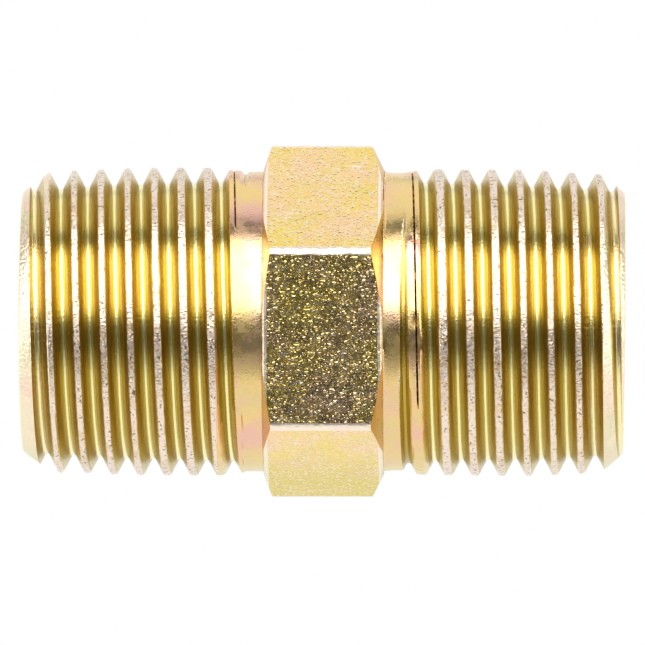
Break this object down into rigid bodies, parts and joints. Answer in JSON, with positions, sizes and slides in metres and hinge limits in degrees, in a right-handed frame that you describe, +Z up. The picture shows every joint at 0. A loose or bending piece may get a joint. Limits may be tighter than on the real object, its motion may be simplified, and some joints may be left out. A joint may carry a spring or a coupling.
{
  "type": "hex nipple",
  "caption": "Yellow-plated steel hex nipple: taper pipe threads both ends of a hexagon, with a through bore.",
  "frame": {"origin": "on the bore's axis, in the middle of the hexagon and half-way between the two pipe ends", "axes": "+X along the bore, towards the end beside the hexagon's deeper corner chamfer; +Z up, square to one pair of hexagon flats; +Y towards a hexagon corner"},
  "size_m": [0.041, 0.0242, 0.021],
  "materials": {
    "yellow_zinc_steel": "turned and threaded steel with a yellow chromate zinc plating"
  },
  "bodies": {
    "root": {"nipple_body": "yellow_zinc_steel"}
  },
  "joints": []
}
